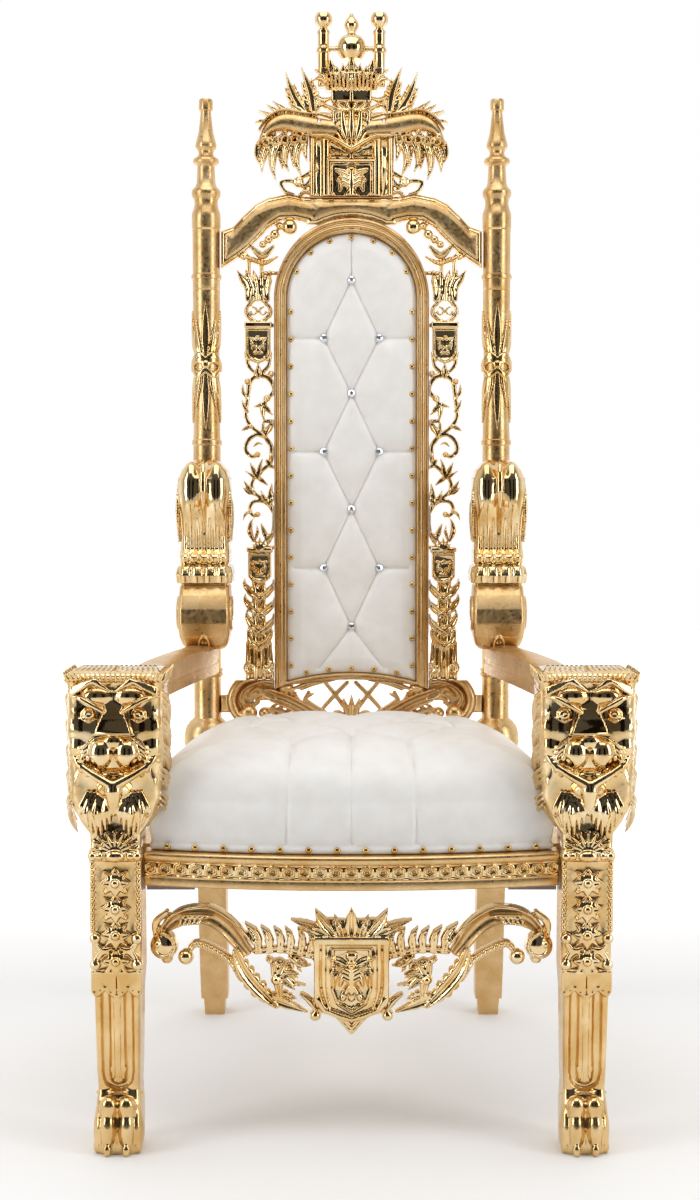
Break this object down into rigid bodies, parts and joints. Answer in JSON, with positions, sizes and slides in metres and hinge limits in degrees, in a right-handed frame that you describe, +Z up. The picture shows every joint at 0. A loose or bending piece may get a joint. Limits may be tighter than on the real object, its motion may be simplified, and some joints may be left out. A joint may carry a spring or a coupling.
{
  "type": "ceremonial throne",
  "caption": "Tall carved throne with lion-headed front legs, satin arms, a framed tufted back with pierced friezes and a crested top, and a crowned padded seat.",
  "frame": {"origin": "on the floor under the centre of the throne's bounding box", "axes": "+Z up, -Y towards the front, +X towards the right arm as seen from the front"},
  "size_m": [0.84, 0.7694, 1.8316],
  "materials": {
    "satin_gold": "satin gilding on carved hardwood, softly reflective",
    "polished_gold": "bright plated gold, mirror-like on the carving",
    "white_leather": "smooth white imitation leather, soft sheen",
    "crystal": "faceted crystal button",
    "grey_board": "plain painted corner board"
  },
  "bodies": {
    "root": {"front_leg_right": "polished_gold", "front_leg_left": "polished_gold", "side_frieze_right": "polished_gold", "side_frieze_left": "polished_gold", "crest": "polished_gold", "front_apron": "polished_gold", "gallery_dome": "polished_gold", "seat_rail_side_right": "satin_gold", "seat_rail_side_left": "satin_gold", "seat_rail_front": "satin_gold", "seat_rail_back": "satin_gold", "rear_leg_right": "satin_gold", "rear_leg_left": "satin_gold", "back_post_right": "satin_gold", "back_post_left": "satin_gold", "arm_right": "satin_gold", "arm_left": "satin_gold", "panel_frame": "satin_gold", "crest_rail": "satin_gold", "lower_back_rail": "satin_gold", "turret_right": "satin_gold", "turret_left": "satin_gold", "seat_cushion": "white_leather", "back_panel": "white_leather", "outside_back": "white_leather", "button_1": "crystal", "button_2": "crystal", "button_3": "crystal", "button_4": "crystal", "button_5": "crystal", "button_6": "crystal", "button_7": "crystal", "button_8": "crystal", "button_9": "crystal", "button_10": "crystal", "corner_plate_right": "grey_board", "corner_plate_left": "grey_board"}
  },
  "joints": []
}
